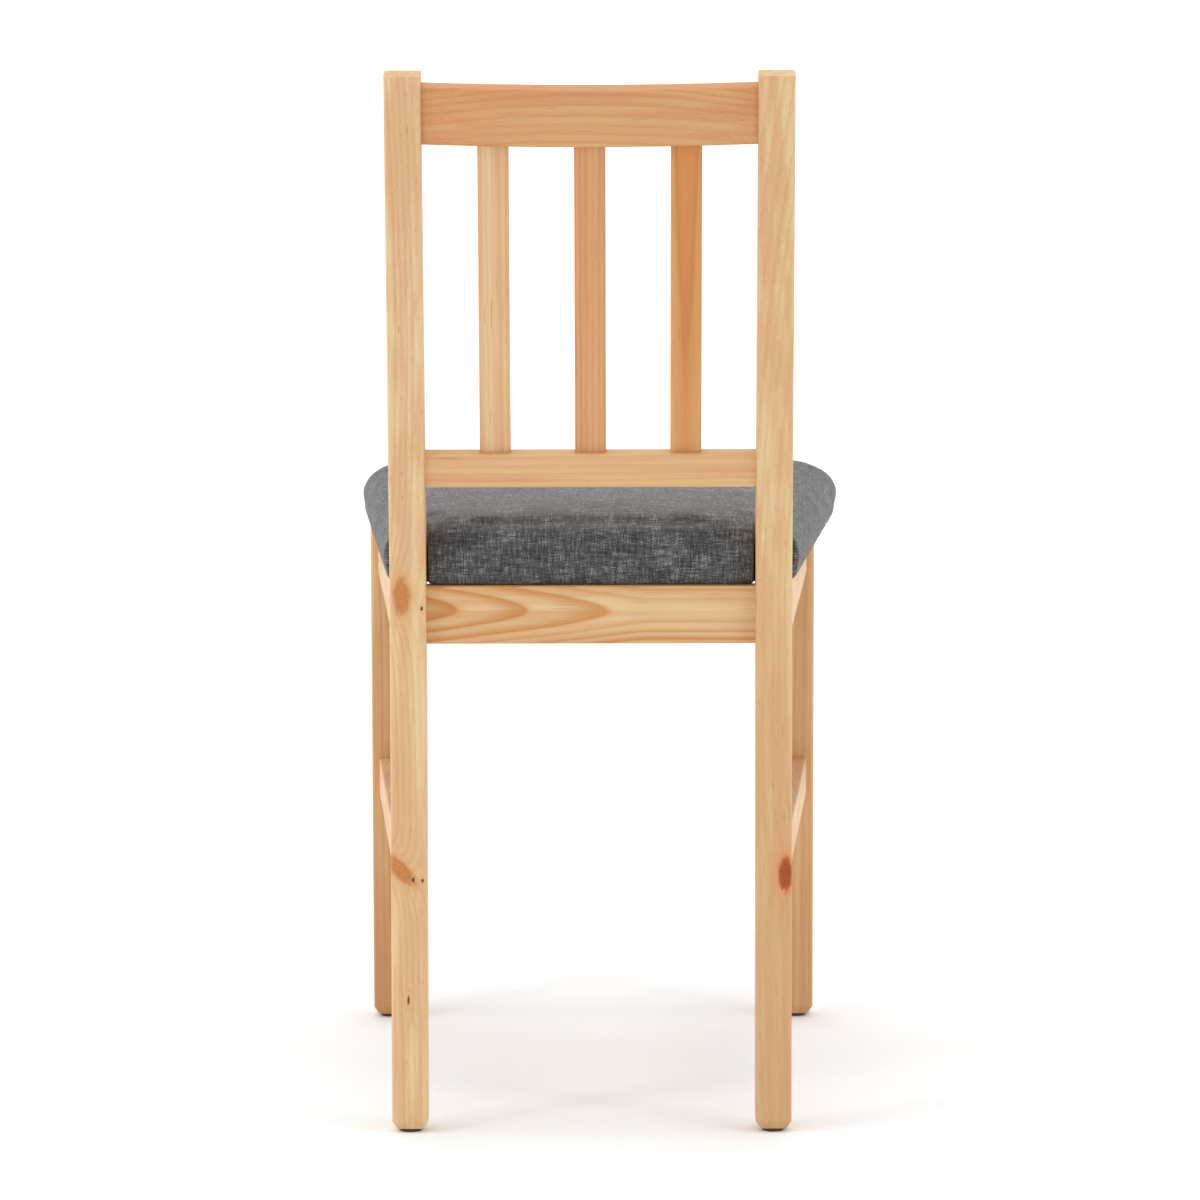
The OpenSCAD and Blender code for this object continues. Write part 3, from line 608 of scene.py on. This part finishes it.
def ring_mesh(name, rings):
    """Closed mesh through loops of equal length, capped at both ends."""
    count = len(rings[0])
    verts = [point for ring in rings for point in ring]
    faces = [list(range(count))[::-1],
             [(len(rings) - 1) * count + k for k in range(count)]]
    for i in range(len(rings) - 1):
        for k in range(count):
            after = (k + 1) % count
            faces.append([i * count + k, i * count + after, (i + 1) * count + after,
                          (i + 1) * count + k])
    mesh = bpy.data.meshes.new(name)
    mesh.from_pydata(verts, [], faces)
    mesh.update()
    made = bpy.data.objects.new(name, mesh)
    bpy.context.scene.collection.objects.link(made)
    return made


def box_piece(name, low, high):
    verts = [(x, y, z) for x in (low[0], high[0]) for y in (low[1], high[1])
             for z in (low[2], high[2])]
    faces = [(0, 1, 3, 2), (4, 6, 7, 5), (0, 4, 5, 1), (2, 3, 7, 6), (0, 2, 6, 4), (1, 5, 7, 3)]
    mesh = bpy.data.meshes.new(name)
    mesh.from_pydata(verts, [], faces)
    made = bpy.data.objects.new(name, mesh)
    bpy.context.scene.collection.objects.link(made)
    return made


def notch_block(sign):
    """Block that cuts the notch round one rear leg."""
    inner = sign * (TONGUE_HALF + NOTCH_FULLNESS)
    outer = sign * 2 * SEAT_HALF_FRONT
    return box_piece("notch", (min(inner, outer), NOTCH_Y + NOTCH_FULLNESS, 0.5 * SEAT_UNDER),
                     (max(inner, outer), 2 * SEAT_REAR, 2 * SEAT_TOP))


def settle(piece):
    """Replaces the mesh of a piece by what its modifiers make of it."""
    bpy.context.view_layer.update()
    graph = bpy.context.evaluated_depsgraph_get()
    mesh = bpy.data.meshes.new_from_object(piece.evaluated_get(graph))
    piece.modifiers.clear()
    old = piece.data
    piece.data = mesh
    bpy.data.meshes.remove(old)


def cushion_body():
    """Closed form of the seat, a little smaller than it will be, cut round the legs."""
    height = SEAT_TOP - SEAT_UNDER
    rings = []
    for share, inset, rear_inset in PROFILE:
        z = SEAT_UNDER + share * height
        rings.append([(p.x, p.y, z) for p in plan_loop(inset - SWELL, rear_inset)])
    body = ring_mesh("cushion", rings)
    for sign in (1, -1):
        side = notch_block(sign)
        cut = body.modifiers.new("notch", "BOOLEAN")
        cut.operation = "DIFFERENCE"
        cut.solver = "EXACT"
        cut.object = side
        settle(body)
        bpy.data.objects.remove(side)
    voxels = body.modifiers.new("voxels", "REMESH")
    voxels.mode = "VOXEL"
    voxels.voxel_size = VOXEL
    settle(body)
    return body


def swell(piece, cap):
    """Blows the piece up a little as cloth, with its underside held by the board."""
    start = [(v.co.copy(), v.normal.copy()) for v in piece.data.vertices]
    held = piece.vertex_groups.new(name="held")
    for vertex in piece.data.vertices:
        low = (vertex.co.z - SEAT_UNDER) / HELD_HEIGHT
        if low < 1:
            held.add([vertex.index], 1.0 - max(0.0, low) ** 2, "REPLACE")
    cloth = piece.modifiers.new("cloth", "CLOTH")
    settings = cloth.settings
    settings.quality = 6
    settings.mass = 0.35
    settings.tension_stiffness = 18
    settings.compression_stiffness = 12
    settings.shear_stiffness = 8
    settings.bending_stiffness = 0.6
    settings.vertex_group_mass = "held"
    settings.use_pressure = True
    settings.uniform_pressure_force = 4.0
    settings.effector_weights.gravity = 0.0
    cloth.collision_settings.use_collision = False
    scene = bpy.context.scene
    cloth.point_cache.frame_start = 1
    cloth.point_cache.frame_end = CLOTH_FRAMES
    for step in range(1, CLOTH_FRAMES + 1):
        scene.frame_set(step)
    settle(piece)
    scene.frame_set(1)
    for vertex, (before, normal) in zip(piece.data.vertices, start):
        move = vertex.co - before
        out = move.dot(normal)
        along = move - normal * out
        limit = cap if out > 0 else 0.3 * cap
        vertex.co = before + normal * limit * math.tanh(out / limit)
        if along.length > 0:
            vertex.co += along.normalized() * cap * math.tanh(0.5 * along.length / cap)


def soften(piece, times):
    """Evens out a piece's surface."""
    smooth = piece.modifiers.new("smooth", "SMOOTH")
    smooth.iterations = times
    smooth.factor = 0.5
    settle(piece)


def drift(piece):
    """The pad is screwed on a little askew: its front stands off to the right."""
    for vertex in piece.data.vertices:
        share = (SEAT_REAR - vertex.co.y) / (SEAT_REAR - SEAT_FRONT)
        vertex.co.x -= SEAT_DRIFT * share


def keep_clear(piece):
    """Holds the cloth off the rear legs, and flat on the board's underside out to its edge."""
    for vertex in piece.data.vertices:
        co = vertex.co
        up = co.z - SEAT_UNDER
        if up < HEM_RISE:
            co.z = SEAT_UNDER + max(0.0, up - HEM_FLAT) * HEM_RISE / (HEM_RISE - HEM_FLAT)
        beside = abs(co.x) - TONGUE_HALF
        behind = co.y - NOTCH_Y
        if beside > 0 and behind > 0:
            if beside < behind:
                co.x -= math.copysign(beside, co.x)
            else:
                co.y -= behind


def make_cushion():
    piece = cushion_body()
    soften(piece, 4)
    swell(piece, PUFF_LIMIT)
    soften(piece, 3)
    drift(piece)
    keep_clear(piece)
    finer = piece.modifiers.new("finer", "SUBSURF")
    finer.levels = 1
    finer.render_levels = 1
    settle(piece)
    for face in piece.data.polygons:
        face.use_smooth = True
    piece.data.materials.append(seat_fabric())
    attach(piece, "root")
    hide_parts("seat_cover", "seat_foam")
    return piece


# ---------------------------------------------------------------- fixings and trim


def dress_fixings():
    metal = zinc()
    for name in ("corner_block_screws", "seat_screws", "seat_staples", "glide_nails"):
        dress(name, metal)
    dowel = beech()
    for name in ("back_dowels", "apron_dowels", "stretcher_dowels"):
        dress(name, dowel)
    plastic = glide_plastic()
    for end in ("rear", "front"):
        for side in ("left", "right"):
            dress(f"glide_{end}_{side}", plastic)
    dress("seat_board", plywood("seat_board"))
    dress("seat_lining", lining_cloth())


# ---------------------------------------------------------------- studio

CAMERA_AT = (-0.0176, 5.0802, 1.2219)
CAMERA_PITCH = math.radians(9.027)
CAMERA_YAW = math.radians(0.118)
CAMERA_ROLL = math.radians(-0.110)
CAMERA_LENS = 180.3


def make_camera():
    data = bpy.data.cameras.new("camera")
    data.lens = CAMERA_LENS
    data.sensor_width = 36.0
    data.clip_end = 400.0
    camera = bpy.data.objects.new("camera", data)
    bpy.context.scene.collection.objects.link(camera)
    ahead = Vector((math.sin(CAMERA_YAW) * math.cos(CAMERA_PITCH),
                    -math.cos(CAMERA_YAW) * math.cos(CAMERA_PITCH), -math.sin(CAMERA_PITCH)))
    level = ahead.cross(Vector((0, 0, 1))).normalized()
    upright = level.cross(ahead)
    across = level * math.cos(CAMERA_ROLL) + upright * math.sin(CAMERA_ROLL)
    up = upright * math.cos(CAMERA_ROLL) - level * math.sin(CAMERA_ROLL)
    turn = Matrix((across, up, -ahead)).transposed()
    camera.matrix_world = Matrix.Translation(CAMERA_AT) @ turn.to_4x4()
    bpy.context.scene.camera = camera


def make_light(name, at, target, size, power):
    data = bpy.data.lights.new(name, "AREA")
    data.shape = "RECTANGLE"
    data.size, data.size_y = size
    data.energy = power
    light = bpy.data.objects.new(name, data)
    light.location = at
    light.rotation_euler = (Vector(target) - Vector(at)).to_track_quat("-Z", "Y").to_euler()
    bpy.context.scene.collection.objects.link(light)
    return light


def make_floor():
    mesh = bpy.data.meshes.new("floor")
    side = 120.0
    mesh.from_pydata([(-side, -side, 0), (side, -side, 0), (side, side, 0), (-side, side, 0)], [],
                     [(0, 1, 2, 3)])
    floor = bpy.data.objects.new("floor", mesh)
    bpy.context.scene.collection.objects.link(floor)
    net = Net("floor")
    grain = net.noise(net.place, (3, 3, 3), 2.0, 0.5)
    floor.data.materials.append(net.finish(net.blend(grain, grey(0.96), grey(0.98)), 0.8,
                                           Specular_IOR_Level=0.1))


def make_studio():
    world = bpy.data.worlds.new("studio")
    world.use_nodes = True
    world.node_tree.nodes["Background"].inputs["Color"].default_value = (1.0, 1.0, 1.0, 1.0)
    world.node_tree.nodes["Background"].inputs["Strength"].default_value = 0.58
    bpy.context.scene.world = world
    bpy.context.scene.view_settings.view_transform = "Standard"
    seat = (0, 0, 0.45)
    make_light("overhead", (0.2, 0.2, 3.4), seat, (4.0, 4.0), 52)
    make_light("from_left", (3.0, 0.3, 1.5), seat, (1.6, 2.4), 20)
    make_light("from_right", (-3.0, 0.3, 1.5), seat, (1.6, 2.4), 18)
    make_light("rear_left", (2.6, 1.7, 1.5), seat, (0.6, 1.4), 18)
    make_light("rear_right", (-2.6, 1.7, 1.5), seat, (0.6, 1.4), 14)
    far = make_light("backdrop", (0, -11, 2.6), (0, -11.001, 0), (16, 13), 560)
    near = make_light("near_backdrop", (0, -3.4, 2.6), (0, -3.401, 0), (9, 2.6), 50)
    for light in (far, near):
        light.visible_glossy = False


make_camera()
make_studio()
make_floor()
dress_legs()
dress_back()
dress_seat_frame()
dress_fixings()
make_cushion()
